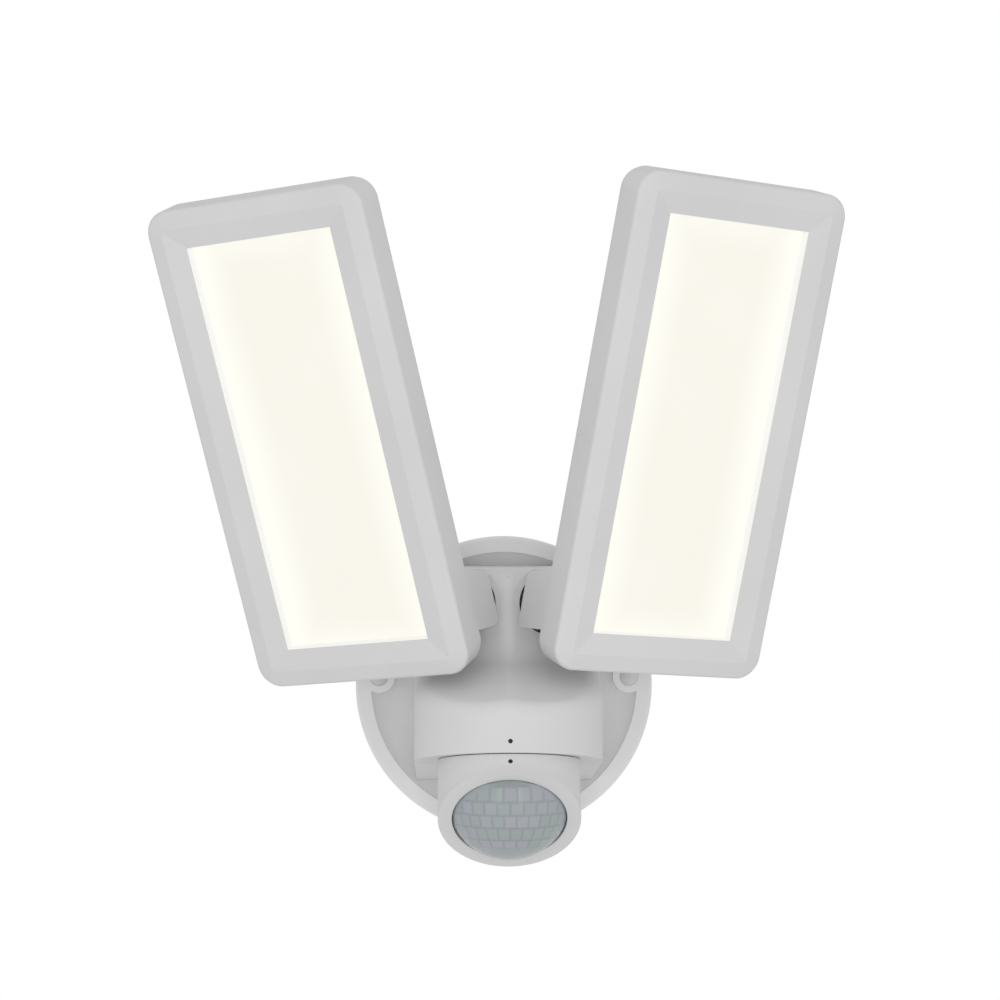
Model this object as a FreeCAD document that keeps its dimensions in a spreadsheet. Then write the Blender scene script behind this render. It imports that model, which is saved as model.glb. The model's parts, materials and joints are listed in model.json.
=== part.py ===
"""Twin-head motion sensor security light for an outdoor wall.

Frame: the origin is the centre of the canopy's back on the wall plane, +Z is up, +X is to the
right for someone who faces the wall, and +Y goes into the wall, so the light stands in -Y.
Lengths are in millimetres and angles in degrees.
"""
import FreeCAD, Part
import math
import os
import types
import Sketcher

VEC = FreeCAD.Vector
ROT = FreeCAD.Rotation
PLACE = FreeCAD.Placement

# ---------------------------------------------------------------- driving dimensions
SIZES = {
    # wall canopy: a dished plate that covers a round wall box
    "canopy_radius": 63.5,
    "canopy_depth": 20.0,
    "canopy_wall": 2.2,
    "rim_width": 6.6,
    "rim_edge_radius": 1.4,
    "dish_depth": 7.0,
    "dish_flat_radius": 43.0,
    "dish_curve_radius": 20.0,
    "wire_hole_radius": 11.0,
    "gasket_thickness": 1.0,
    "gasket_width": 3.6,
    # canopy fixing: two bosses at the sides, and a strap on the box behind
    "boss_spacing": 107.2,
    "boss_rise": 3.4,
    "boss_radius": 6.9,
    "canopy_screw_radius": 2.0,
    "screw_head_radius": 3.8,
    "screw_head_height": 2.4,
    "counterbore_depth": 5.4,
    "cap_dome_height": 1.3,
    "cap_length": 2.2,
    "strap_end_radius": 8.0,
    "strap_thickness": 2.0,
    "strap_hole_margin": 6.0,
    "strap_centre_hole_radius": 5.2,
    "box_slot_spacing": 86.1,
    "box_slot_length": 9.4,
    "box_slot_width": 4.6,
    # body housing: box with a round nose
    "body_half_width": 37.4,
    "body_top": 50.8,
    "body_corner_radius": 14.0,
    "body_wall": 2.6,
    "nose_centre": 108.0,
    "nose_edge_radius": 8.0,
    "ridge_radius": 9.0,
    "underside_slope": 10.0,
    "body_screw_z": 26.0,
    "body_screw_radius": 1.5,
    "body_post_radius": 4.2,
    "body_post_overlap": 0.8,
    "body_post_length": 11.0,
    "mark_radius": 0.9,
    "mark_depth": 1.2,
    "body_mark_height": 4.4,
    "sensor_mark_drop": 3.0,
    # swivel joints of the two arms
    "facet_yaw": 26.4,
    "pivot_x": 25.1,
    "pivot_out": 103.2,
    "pivot_z": 37.0,
    "facet_distance": 20.0,
    "facet_blend_radius": 22.0,
    "tilt_limit": 22.0,
    "swing_clearance": 4.4,
    "counterbore_radius": 12.7,
    "facet_recess": 3.0,
    "disc_gap": 0.75,
    "disc_proud": 0.6,
    "disc_teeth": 24.0,
    "tooth_size": 1.3,
    "seal_recess": 0.8,
    "stem_radius": 5.0,
    "stem_bore_radius": 3.0,
    "stem_tail": 2.0,
    "running_gap": 0.06,
    "seat_gap": 0.1,
    "washer_radius": 8.6,
    "washer_thickness": 1.2,
    "nut_flats": 14.0,
    "nut_thickness": 4.0,
    # knuckles: ears on the head, eye on the arm
    "eye_radius": 10.8,
    "eye_width": 15.8,
    "ear_gap": 0.25,
    "ear_thickness": 9.6,
    "ear_half_height": 12.0,
    "ear_lift": 4.0,
    "ear_rise": 6.0,
    "ear_back": 8.0,
    "ear_top_radius": 5.0,
    "ear_bottom_radius": 2.2,
    "neck_radius": 7.4,
    "bolt_radius": 2.5,
    "bolt_head_radius": 4.4,
    "bolt_head_height": 3.0,
    "bolt_recess": 3.6,
    "tilt_nut_flats": 8.0,
    "tilt_nut_thickness": 3.6,
    # how the arms and heads stand in the photographed pose
    "left_roll": 5.1,
    "left_tilt": 19.0,
    "right_roll": 4.0,
    "right_tilt": 13.9,
    # heads: place of the window centre and of the lower end from the hinge, and the front frame
    "window_out": 27.6,
    "head_drop": 19.6,
    "window_front": 28.0,
    "window_width": 62.85,
    "window_height": 166.0,
    "bezel_width": 8.35,
    "bezel_rise": 2.0,
    "band_width": 7.25,
    "band_drop": 1.5,
    "crest_corner_radius": 2.5,
    "head_corner_radius": 9.5,
    "head_edge_radius": 1.6,
    "frame_depth": 13.0,
    "frame_wall": 2.5,
    "frame_skin": 2.2,
    "recess_depth": 4.3,
    "recess_wall": 2.0,
    "post_radius": 3.3,
    "post_inset": 9.3,
    # heads: inside and rear
    "diffuser_thickness": 2.0,
    "diffuser_play": 0.3,
    "board_thickness": 1.6,
    "board_inset": 5.0,
    "chip_size": 3.0,
    "chip_height": 0.7,
    "chip_columns": 3.0,
    "chip_rows": 9.0,
    "back_plate": 2.8,
    "back_inset": 0.7,
    "back_edge": 1.4,
    "seal_thickness": 0.8,
    "fin_height": 2.6,
    "fin_thickness": 2.0,
    "fin_pitch": 9.4,
    "fin_count": 9.0,
    "fin_margin": 14.0,
    "frame_screw_radius": 1.3,
    "frame_screw_head": 2.7,
    "frame_screw_length": 9.0,
    "ear_screw_gap": 1.5,
    # motion sensor: a bent round housing under the nose
    "sensor_axis_out": 116.0,
    "sensor_seat_z": -23.6,
    "sensor_radius": 28.0,
    "sensor_wall": 2.4,
    "sensor_bend": 38.0,
    "sensor_bend_radius": 36.6,
    "sensor_gap": 0.3,
    "face_length": 1.6,
    "lens_radius": 22.2,
    "lens_sphere_radius": 24.6,
    "lens_wall": 1.1,
    "lens_gap": 0.35,
    "lens_seat": 0.6,
    "lens_flange": 1.8,
    "spigot_radius": 13.0,
    "spigot_wall": 2.2,
    "spigot_length": 9.0,
    "clip_width": 3.4,
    "clip_thickness": 2.0,
    "sensor_board_radius": 22.6,
    "sensor_board_depth": 5.4,
    "detector_radius": 4.6,
    "detector_height": 4.2,
    # setting knobs under the sensor
    "knob_angle": 27.0,
    "knob_spacing": 23.0,
    "knob_radius": 4.6,
    "knob_height": 3.4,
    "knob_slot_width": 1.3,
    "knob_slot_depth": 1.2,
    "knob_pad_radius": 6.8,
    "knob_pad_proud": 2.6,
    "knob_well": 2.4,
    "knob_shaft_radius": 1.5,
    "shaft_boss_radius": 3.6,
    "trimmer_size": 8.0,
    "trimmer_height": 4.0,
    # driver in the body
    "driver_play": 0.6,
    "driver_height": 60.0,
    "driver_centre_z": 1.0,
    "driver_standoff": 9.0,
    "transformer_width": 22.0,
    "transformer_height": 20.0,
    "transformer_depth": 18.0,
    "capacitor_radius": 5.0,
    "capacitor_length": 20.0,
    "capacitor_spacing": 11.0,
    "relay_width": 19.0,
    "relay_height": 15.5,
    "relay_depth": 15.0,
    "terminal_width": 20.0,
    "terminal_height": 8.0,
    "terminal_depth": 10.0,
}


# ---------------------------------------------------------------- sizes with their formulas
class Size:
    """A number together with the sheet formula that gives it."""

    def __init__(self, value, text):
        self.value = float(value)
        self.text = text

    def __add__(self, other):
        other = as_size(other)
        return Size(self.value + other.value, "(%s + %s)" % (self.text, other.text))

    def __radd__(self, other):
        return as_size(other) + self

    def __sub__(self, other):
        other = as_size(other)
        return Size(self.value - other.value, "(%s - %s)" % (self.text, other.text))

    def __rsub__(self, other):
        return as_size(other) - self

    def __mul__(self, other):
        other = as_size(other)
        return Size(self.value * other.value, "(%s * %s)" % (self.text, other.text))

    def __rmul__(self, other):
        return self * other

    def __truediv__(self, other):
        other = as_size(other)
        return Size(self.value / other.value, "(%s / %s)" % (self.text, other.text))

    def __neg__(self):
        return Size(-self.value, "(0 - %s)" % self.text)


def as_size(number):
    """A plain number as a Size, so that formulas can mix the two."""
    return number if isinstance(number, Size) else Size(number, repr(number))


def root(size):
    return Size(math.sqrt(size.value), "sqrt(%s)" % size.text)


def sine(angle):
    return Size(math.sin(math.radians(angle.value)), "sin(%s)" % angle.text)


def cosine(angle):
    return Size(math.cos(math.radians(angle.value)), "cos(%s)" % angle.text)


doc = FreeCAD.newDocument("security_light")
sheet = doc.addObject("Spreadsheet::Sheet", "Sizes")
for row, (alias, number) in enumerate(SIZES.items(), start=1):
    sheet.set("A%d" % row, alias.replace("_", " "))
    sheet.set("B%d" % row, str(number))
    sheet.setAlias("B%d" % row, alias)
doc.recompute()
S = types.SimpleNamespace(**{
    alias: Size(sheet.get(alias), "Sizes." + alias) for alias in SIZES})


# ---------------------------------------------------------------- drawing helpers
def bind(thing, prop, size):
    """Set a property from a size and tie it to the sheet."""
    size = as_size(size)
    setattr(thing, prop, size.value)
    thing.setExpression(prop, size.text)


def new_body(label):
    body = doc.addObject("PartDesign::Body", label)
    body.Label = label
    return body


def origin_item(body, role):
    return [item for item in body.Origin.OriginFeatures if item.Role == role][0]


def sketch_on(body, plane, offset=0):
    """A sketch on one of the body's own planes: XY looks up, XZ looks out of the wall (-Y)."""
    sketch = body.newObject("Sketcher::SketchObject", body.Name + "_sketch")
    sketch.AttachmentSupport = [(origin_item(body, plane + "_Plane"), "")]
    sketch.MapMode = "FlatFace"
    offset = as_size(offset)
    sketch.AttachmentOffset = PLACE(VEC(0, 0, offset.value), ROT())
    sketch.setExpression("AttachmentOffset.Base.z", offset.text)
    return sketch


def pin_point(sketch, geometry, end, x, y):
    """Hold a sketch point at (x, y) from the sketch origin."""
    for kind, size, axis in (("DistanceX", x, -2), ("DistanceY", y, -1)):
        if size is None:
            continue
        if size.value == 0:
            sketch.addConstraint(Sketcher.Constraint("PointOnObject", geometry, end, axis))
            continue
        index = sketch.addConstraint(
            Sketcher.Constraint(kind, -1, 1, geometry, end, size.value))
        sketch.setExpression("Constraints[%d]" % index, size.text)


def trace(sketch, steps):
    """Draw one closed outline.

    Each step is the end of a line (x, y), or of an arc (x, y, centre x, centre y, turn) with
    turn +1 for anticlockwise and -1 for clockwise. The outline starts at the last step's end.
    """
    first = sketch.GeometryCount
    ends = [(as_size(step[0]), as_size(step[1])) for step in steps]
    joints = []
    for index, step in enumerate(steps):
        start = VEC(ends[index - 1][0].value, ends[index - 1][1].value, 0)
        end = VEC(ends[index][0].value, ends[index][1].value, 0)
        if len(step) == 2:
            sketch.addGeometry(Part.LineSegment(start, end))
            joints.append((1, 2))
            continue
        centre = VEC(as_size(step[2]).value, as_size(step[3]).value, 0)
        circle = Part.Circle(centre, VEC(0, 0, 1), (end - centre).Length)
        low, high = (start, end) if step[4] > 0 else (end, start)
        angles = [math.atan2(p.y - centre.y, p.x - centre.x) for p in (low, high)]
        sketch.addGeometry(Part.ArcOfCircle(circle, angles[0], angles[1]))
        joints.append((1, 2) if step[4] > 0 else (2, 1))
    for index, step in enumerate(steps):
        this = first + index
        following = first + (index + 1) % len(steps)
        sketch.addConstraint(Sketcher.Constraint(
            "Coincident", this, joints[index][1], following, joints[following - first][0]))
        pin_point(sketch, this, joints[index][1], *ends[index])
        if len(step) == 5:
            before, after = ends[index - 1], ends[index]
            level = abs(after[0].value - before[0].value) > abs(after[1].value - before[1].value)
            if level:
                pin_point(sketch, this, 3, None, as_size(step[3]))
            else:
                pin_point(sketch, this, 3, as_size(step[2]), None)


def ring(sketch, x, y, radius):
    """Draw one circle."""
    x, y, radius = as_size(x), as_size(y), as_size(radius)
    index = sketch.addGeometry(
        Part.Circle(VEC(x.value, y.value, 0), VEC(0, 0, 1), radius.value))
    pin_point(sketch, index, 3, x, y)
    held = sketch.addConstraint(Sketcher.Constraint("Radius", index, radius.value))
    sketch.setExpression("Constraints[%d]" % held, radius.text)


def rectangle(sketch, x, y, half_x, half_y, corner=None):
    """Draw a rectangle about (x, y), with round corners where a corner radius is given."""
    left, right = x - half_x, x + half_x
    low, high = y - half_y, y + half_y
    if corner is None:
        trace(sketch, [(left, low), (right, low), (right, high), (left, high)])
        return
    trace(sketch, [
        (left + corner, low, left + corner, low + corner, 1),
        (right - corner, low),
        (right, low + corner, right - corner, low + corner, 1),
        (right, high - corner),
        (right - corner, high, right - corner, high - corner, 1),
        (left + corner, high),
        (left, high - corner, left + corner, high - corner, 1),
        (left, low + corner)])


def hexagon(sketch, x, y, flats):
    """Draw a hexagon with two corners on the sketch's level line."""
    corner = flats / math.sqrt(3)
    half = corner / 2
    trace(sketch, [
        (x + corner, y), (x + half, y + flats / 2), (x - half, y + flats / 2),
        (x - corner, y), (x - half, y - flats / 2), (x + half, y - flats / 2)])


def pad(body, sketch, length, reverse=False, midplane=False):
    feature = body.newObject("PartDesign::Pad", body.Name + "_pad")
    feature.Profile = sketch
    bind(feature, "Length", length)
    feature.Reversed = reverse
    feature.Midplane = midplane
    return feature


def pocket(body, sketch, length=None, reverse=False, midplane=False):
    """Cut a sketch into its body, by a length or right through, and check that it cut."""
    doc.recompute()
    before = body.Shape.Volume
    feature = body.newObject("PartDesign::Pocket", body.Name + "_pocket")
    feature.Profile = sketch
    if length is None:
        feature.Type = "ThroughAll"
    else:
        bind(feature, "Length", length)
    feature.Reversed = reverse
    feature.Midplane = midplane
    doc.recompute()
    if not body.Shape.Volume < before:
        raise RuntimeError(body.Label + ": a pocket cuts nothing")
    return feature


def turned(body, sketch, kind="PartDesign::Revolution", angle=360, axis="V_Axis", reverse=False):
    feature = body.newObject(kind, body.Name + "_turn")
    feature.Profile = sketch
    feature.ReferenceAxis = (sketch, [axis])
    bind(feature, "Angle", angle)
    feature.Reversed = reverse
    return feature


def loft(body, near, far, kind="PartDesign::AdditiveLoft"):
    feature = body.newObject(kind, body.Name + "_loft")
    feature.Profile = near
    feature.Sections = [far]
    feature.Ruled = True
    return feature


def edges_where(shape, test):
    return ["Edge%d" % (n + 1) for n, edge in enumerate(shape.Edges) if test(edge)]


def soften(body, radius, test, kind="PartDesign::Fillet"):
    """Round or bevel the edges of the body's last feature that pass the test."""
    doc.recompute()
    base = body.Tip
    names = edges_where(base.Shape, test)
    if not names:
        raise RuntimeError(body.Label + ": no edge to soften")
    feature = body.newObject(kind, body.Name + "_edge")
    feature.Base = (base, names)
    bind(feature, "Radius" if kind.endswith("Fillet") else "Size", radius)
    return feature


def combine(kind, label, base, tool):
    feature = doc.addObject("Part::" + kind, label)
    feature.Label = label
    feature.Base = base
    feature.Tool = tool
    return feature


def cylinder(label, radius, height, placement):
    feature = doc.addObject("Part::Cylinder", label)
    feature.Label = label
    bind(feature, "Radius", radius)
    bind(feature, "Height", height)
    feature.Placement = placement
    return feature


def box(label, length, width, height, placement):
    feature = doc.addObject("Part::Box", label)
    feature.Label = label
    bind(feature, "Length", length)
    bind(feature, "Width", width)
    bind(feature, "Height", height)
    feature.Placement = placement
    return feature


def between(value, low, high):
    return low - 0.01 < value < high + 0.01


# ---------------------------------------------------------------- frames of the moving parts
UP = VEC(0, 0, 1)
RIGHT = VEC(1, 0, 0)
BACK = VEC(0, 1, 0)
OUTWARD_ROT = ROT(RIGHT, 90)
SIDES = (("left", -1, S.left_roll, S.left_tilt), ("right", 1, S.right_roll, S.right_tilt))


def socket_frame(sign):
    """The facet's frame: origin on the hinge axis, Y straight back into the facet."""
    pivot = VEC(sign * S.pivot_x.value, -S.pivot_out.value, S.pivot_z.value)
    return PLACE(pivot, ROT(UP, sign * S.facet_yaw.value))


def arm_frame(sign, roll):
    return socket_frame(sign) * PLACE(VEC(), ROT(BACK, sign * roll.value))


def head_frame(sign, roll, tilt):
    """The head's frame: origin on the hinge axis, X along the hinge, -Y out of the window."""
    return arm_frame(sign, roll) * PLACE(VEC(), ROT(RIGHT, tilt.value))


def sensor_frame():
    """The sensor's frame: origin where its neck leaves the underside, Z up the neck."""
    seat = VEC(0, -S.sensor_axis_out.value, S.sensor_seat_z.value)
    return PLACE(seat, ROT(RIGHT, -S.underside_slope.value))


def bend_frame(angle=0):
    """The sensor's frame after the running gap, turned on round the bend by an angle."""
    top = PLACE(VEC(0, -S.sensor_bend_radius.value, -S.sensor_gap.value), ROT(RIGHT, -angle))
    return sensor_frame() * top


def face_frame():
    """Frame of the sensor's face: origin at the end of the bend, Z back into the housing."""
    reach = PLACE(VEC(0, S.sensor_bend_radius.value, 0), ROT())
    return bend_frame(S.sensor_bend.value) * reach


def knob_frame(sign):
    """Frame of a setting knob: Z points out of the underside of the bend."""
    across = sign * S.knob_spacing.value / 2
    surface = math.sqrt(S.sensor_radius.value ** 2 - across ** 2)
    seat = PLACE(VEC(across, S.sensor_bend_radius.value + surface, 0), ROT(RIGHT, -90))
    return bend_frame(S.knob_angle.value) * seat


# ---------------------------------------------------------------- wall canopy and its fixings
BODY_SCREW_X = S.body_half_width - S.body_wall - S.body_post_radius + S.body_post_overlap
DISH_CENTRE = -(S.canopy_depth - S.dish_depth + S.dish_curve_radius)
RIM_INNER = S.canopy_radius - S.rim_width
DISH_REACH = RIM_INNER - S.dish_flat_radius


def dish_arc(radius):
    """Depth of a dish curve of this radius where it meets the inside of the rim."""
    return DISH_CENTRE + root(radius * radius - DISH_REACH * DISH_REACH)


def make_canopy():
    body = new_body("canopy")
    front = -S.canopy_depth
    floor = front + S.dish_depth
    edge = S.rim_edge_radius
    inner = S.canopy_radius - S.canopy_wall
    under = S.dish_curve_radius + S.canopy_wall
    profile = sketch_on(body, "YZ")
    trace(profile, [
        (-S.gasket_thickness, S.canopy_radius),
        (front + edge, S.canopy_radius),
        (front, S.canopy_radius - edge, front + edge, S.canopy_radius - edge, 1),
        (front, RIM_INNER),
        (dish_arc(S.dish_curve_radius), RIM_INNER),
        (floor, S.dish_flat_radius, DISH_CENTRE, S.dish_flat_radius, -1),
        (floor, S.wire_hole_radius),
        (floor + S.canopy_wall, S.wire_hole_radius),
        (floor + S.canopy_wall, S.dish_flat_radius),
        (dish_arc(under), RIM_INNER, DISH_CENTRE, S.dish_flat_radius, 1),
        (front + S.canopy_wall, inner),
        (-S.gasket_thickness, inner)])
    turned(body, profile, axis="H_Axis")
    bosses = sketch_on(body, "XZ", S.canopy_depth - S.dish_depth - S.canopy_wall)
    for sign in (-1, 1):
        ring(bosses, S.boss_spacing * sign / 2, S.boss_rise, S.boss_radius)
    pad(body, bosses, S.dish_depth + S.canopy_wall)
    through = sketch_on(body, "XZ", S.canopy_depth)
    for sign in (-1, 1):
        ring(through, S.boss_spacing * sign / 2, S.boss_rise, S.canopy_screw_radius + S.seat_gap)
        for height in (S.body_screw_z, -S.body_screw_z):
            ring(through, BODY_SCREW_X * sign, height, S.body_screw_radius + S.seat_gap)
    pocket(body, through)
    recess = sketch_on(body, "XZ", S.canopy_depth)
    for sign in (-1, 1):
        ring(recess, S.boss_spacing * sign / 2, S.boss_rise, S.screw_head_radius + S.seat_gap)
    pocket(body, recess, S.counterbore_depth)
    return body


def make_wall_gasket():
    body = new_body("wall_gasket")
    face = sketch_on(body, "XZ")
    ring(face, 0, 0, S.canopy_radius - S.seat_gap)
    ring(face, 0, 0, S.canopy_radius - S.gasket_width)
    pad(body, face, S.gasket_thickness)
    return body


def make_mounting_strap():
    body = new_body("mounting_strap")
    plate = sketch_on(body, "XZ")
    end = S.boss_spacing / 2 + S.strap_hole_margin - S.strap_end_radius
    radius = S.strap_end_radius
    trace(plate, [
        (-end, -radius, -end, 0, 1),
        (end, -radius),
        (end, radius, end, 0, 1),
        (-end, radius)])
    ring(plate, 0, 0, S.strap_centre_hole_radius)
    pad(body, plate, S.strap_thickness)
    screws = sketch_on(body, "XZ", S.strap_thickness)
    for sign in (-1, 1):
        ring(screws, S.boss_spacing * sign / 2, S.boss_rise, S.canopy_screw_radius + S.running_gap)
    pocket(body, screws)
    slots = sketch_on(body, "XZ", S.strap_thickness)
    half = S.box_slot_width / 2
    reach = S.box_slot_length / 2 - half
    for sign in (-1, 1):
        middle = S.box_slot_spacing * sign / 2
        trace(slots, [
            (middle - reach, -half, middle - reach, 0, 1),
            (middle + reach, -half),
            (middle + reach, half, middle + reach, 0, 1),
            (middle - reach, half)])
    pocket(body, slots)
    return body


def make_canopy_screws():
    """Two screws from the counterbores to the strap, drawn as one group."""
    body_pieces = []
    seat = S.canopy_depth - S.counterbore_depth
    for name, sign in (("left", -1), ("right", 1)):
        x = sign * S.boss_spacing.value / 2
        z = S.boss_rise.value
        shank = cylinder("canopy_screw_shank_" + name, S.canopy_screw_radius, seat + S.seat_gap,
                         PLACE(VEC(x, 0, z), OUTWARD_ROT))
        head = cylinder("canopy_screw_head_" + name, S.screw_head_radius, S.screw_head_height,
                        PLACE(VEC(x, -seat.value, z), OUTWARD_ROT))
        body_pieces.append(combine("Fuse", "canopy_screw_" + name, shank, head))
    group = doc.addObject("Part::Compound", "canopy_screws")
    group.Label = "canopy_screws"
    group.Links = body_pieces
    return group


def make_screw_caps():
    """Two domed caps that close the counterbores."""
    pieces = []
    radius = S.screw_head_radius
    rise = S.cap_dome_height
    sphere = (radius * radius + rise * rise) / (rise * 2)
    for name, sign in (("left", -1), ("right", 1)):
        body = new_body("screw_cap_" + name)
        profile = sketch_on(body, "XY")
        trace(profile, [
            (0, S.cap_length),
            (0, -rise),
            (radius, 0, 0, sphere - rise, 1),
            (radius, S.cap_length)])
        turned(body, profile)
        body.Placement = PLACE(
            VEC(sign * S.boss_spacing.value / 2, -S.canopy_depth.value, S.boss_rise.value), ROT())
        pieces.append(body)
    group = doc.addObject("Part::Compound", "screw_caps")
    group.Label = "screw_caps"
    group.Links = pieces
    return group


# ---------------------------------------------------------------- body housing
DISH_FLOOR = S.canopy_depth - S.dish_depth


def body_form(name, grow):
    """The body as a closed solid, with its faces moved in by grow.

    A front outline with round top corners meets a plan outline with a round nose. Then the
    space that a head swings through goes, down to a shelf that is parallel to the head's lower
    end at its tilt limit, and everything under the sloping underside. The right half of this
    is mirrored.
    """
    half = S.body_half_width - grow
    top = S.body_top - grow
    corner = S.body_corner_radius - grow
    reach = S.nose_centre + S.body_half_width * 2
    outline = new_body(name + "_outline")
    face = sketch_on(outline, "XZ")
    trace(face, [
        (0, -S.body_top * 2), (half, -S.body_top * 2), (half, top - corner),
        (half - corner, top, half - corner, top - corner, 1), (0, top)])
    pad(outline, face, reach)
    plan = new_body(name + "_plan")
    floor = sketch_on(plan, "XY", -S.body_top * 2)
    trace(floor, [
        (0, 0), (0, -S.nose_centre - half),
        (half, -S.nose_centre, 0, -S.nose_centre, 1), (half, 0)])
    pad(plan, floor, S.body_top * 4)
    block = combine("Common", name + "_block", outline, plan)
    swing = new_body(name + "_swing")
    side = sketch_on(swing, "YZ")
    facet = S.facet_distance + grow
    blend = S.facet_blend_radius
    tilt_sine, tilt_cosine = sine(S.tilt_limit), cosine(S.tilt_limit)
    depth = S.head_drop + S.swing_clearance + grow
    front = S.body_top * 2
    middle_y = facet - blend
    middle_z = (blend - depth + middle_y * tilt_sine) / tilt_cosine
    trace(side, [
        (facet, S.body_top * 2), (-front, S.body_top * 2),
        (-front, -(depth + front * tilt_sine) / tilt_cosine),
        (middle_y + blend * tilt_sine, middle_z - blend * tilt_cosine),
        (facet, middle_z, middle_y, middle_z, 1)])
    pad(swing, side, S.body_top * 4, midplane=True)
    swing.Placement = socket_frame(1)
    faced = combine("Cut", name + "_faced", block, swing)
    under = new_body(name + "_under")
    wedge = sketch_on(under, "XZ", -S.body_top * 4)
    rectangle(wedge, as_size(0), -S.body_top * 2 + grow, S.body_top * 2, S.body_top * 2)
    pad(under, wedge, S.body_top * 8)
    under.Placement = sensor_frame()
    right_half = combine("Cut", name + "_right_half", faced, under)
    left_half = doc.addObject("Part::Mirroring", name + "_left_half")
    left_half.Source = right_half
    left_half.Normal = RIGHT
    whole = combine("Fuse", name + "_solid", right_half, left_half)
    whole.Refine = True
    return whole


def middle_of(edge):
    return edge.valueAt((edge.FirstParameter + edge.LastParameter) / 2)


def on_ridge(edge):
    """The crease between the two facets and between the two shelves below them."""
    ends = [vertex.Point for vertex in edge.Vertexes]
    front = -S.nose_centre.value - S.body_half_width.value
    return (all(abs(point.x) < 0.01 for point in ends + [middle_of(edge)])
            and all(front - 0.01 < point.y < -S.pivot_z.value for point in ends)
            and all(point.z > S.sensor_seat_z.value + 10 for point in ends)
            and ends[0].distanceToPoint(ends[-1]) > 1)


def on_nose_rim(edge):
    """Where the shelves leave the round front of the nose."""
    middle = middle_of(edge)
    radius = math.hypot(middle.x, middle.y + S.nose_centre.value)
    return (abs(radius - S.body_half_width.value) < 0.05 and middle.y < -S.nose_centre.value
            and middle.z > -S.body_wall.value * 2)


def rounded(label, base, radius, test):
    """Round the edges of a solid that pass the test."""
    doc.recompute()
    edges = [(n + 1, radius.value, radius.value)
             for n, edge in enumerate(base.Shape.Edges) if test(edge)]
    if not edges:
        raise RuntimeError(label + ": no edge to round")
    feature = doc.addObject("Part::Fillet", label)
    feature.Base = base
    feature.Edges = edges
    return feature


def make_body_housing():
    outer = body_form("body_outer", as_size(0))
    nosed = rounded("body_nosed", outer, S.nose_edge_radius, on_nose_rim)
    column = rounded("body_column", nosed, S.ridge_radius, on_ridge)
    housing = combine("Cut", "body_shell", column, body_form("body_inner", S.body_wall))
    for name, sign in (("left", -1), ("right", 1)):
        # facet socket: counterbore for the swivel disc and a hole for its stem
        socket = socket_frame(sign)
        mouth = PLACE(VEC(0, (S.facet_distance + S.facet_recess).value, 0), OUTWARD_ROT)
        seat = PLACE(VEC(0, (S.facet_distance + S.facet_recess + S.body_wall).value, 0),
                     OUTWARD_ROT)
        boss = cylinder(name + "_facet_boss", S.counterbore_radius + S.body_wall,
                        S.facet_recess + S.body_wall, socket * seat)
        inside = combine("Common", name + "_facet_boss_inside", boss, outer)
        housing = combine("Fuse", "body_%s_boss" % name, housing, inside)
        counter = cylinder(name + "_facet_counterbore", S.counterbore_radius,
                           S.facet_recess * 2, socket * mouth)
        housing = combine("Cut", "body_%s_bored" % name, housing, counter)
        hole = cylinder(name + "_facet_hole", S.stem_radius + S.running_gap, S.facet_distance,
                        socket * PLACE(VEC(0, S.body_wall.value, 0), ROT()) * seat)
        housing = combine("Cut", "body_%s_holed" % name, housing, hole)
        # two screw posts that stand on the canopy's floor
        for level, height in (("high", S.body_screw_z), ("low", -S.body_screw_z)):
            base = PLACE(VEC(sign * BODY_SCREW_X.value, 0, height.value), OUTWARD_ROT)
            place = name + "_" + level
            post = cylinder("body_post_" + place, S.body_post_radius,
                            DISH_FLOOR + S.body_post_length, base)
            pilot = cylinder("body_pilot_" + place, S.body_screw_radius,
                             DISH_FLOOR + S.body_post_length - 2, base)
            housing = combine("Fuse", "body_with_post_" + place, housing, post)
            housing = combine("Cut", "body_with_pilot_" + place, housing, pilot)
    # the neck hole, the scribed back edge and the pit for the index mark
    neck = cylinder("neck_hole", S.spigot_radius + S.running_gap, S.body_wall * 4,
                    sensor_frame() * PLACE(VEC(0, 0, -S.body_wall.value * 2), ROT()))
    necked = combine("Cut", "body_necked", housing, neck)
    plug = new_body("canopy_plug")
    profile = sketch_on(plug, "XY")
    trace(profile, [
        (0, S.canopy_depth), (0, -DISH_FLOOR), (S.dish_flat_radius, -DISH_FLOOR),
        (RIM_INNER, dish_arc(S.dish_curve_radius), S.dish_flat_radius, DISH_CENTRE, -1),
        (RIM_INNER, -S.canopy_depth), (S.canopy_radius * 2, -S.canopy_depth),
        (S.canopy_radius * 2, S.canopy_depth)])
    turned(plug, profile)
    scribed = combine("Cut", "body_scribed", necked, plug)
    pit = cylinder("body_mark_pit", S.mark_radius, S.mark_depth * 3, mark_seat_body())
    housing = combine("Cut", "body_housing", scribed, pit)
    return housing


def mark_seat_body():
    """Frame of the index mark on the nose, Z out of the front."""
    front = S.nose_centre + S.body_half_width
    lip = S.sensor_seat_z.value + math.tan(math.radians(S.underside_slope.value)) * (
        front.value - S.sensor_axis_out.value)
    height = lip + S.body_mark_height.value
    return PLACE(VEC(0, -front.value + S.mark_depth.value, height), OUTWARD_ROT)


def make_body_mark():
    return cylinder("body_mark", S.mark_radius, S.mark_depth, mark_seat_body())


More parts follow.
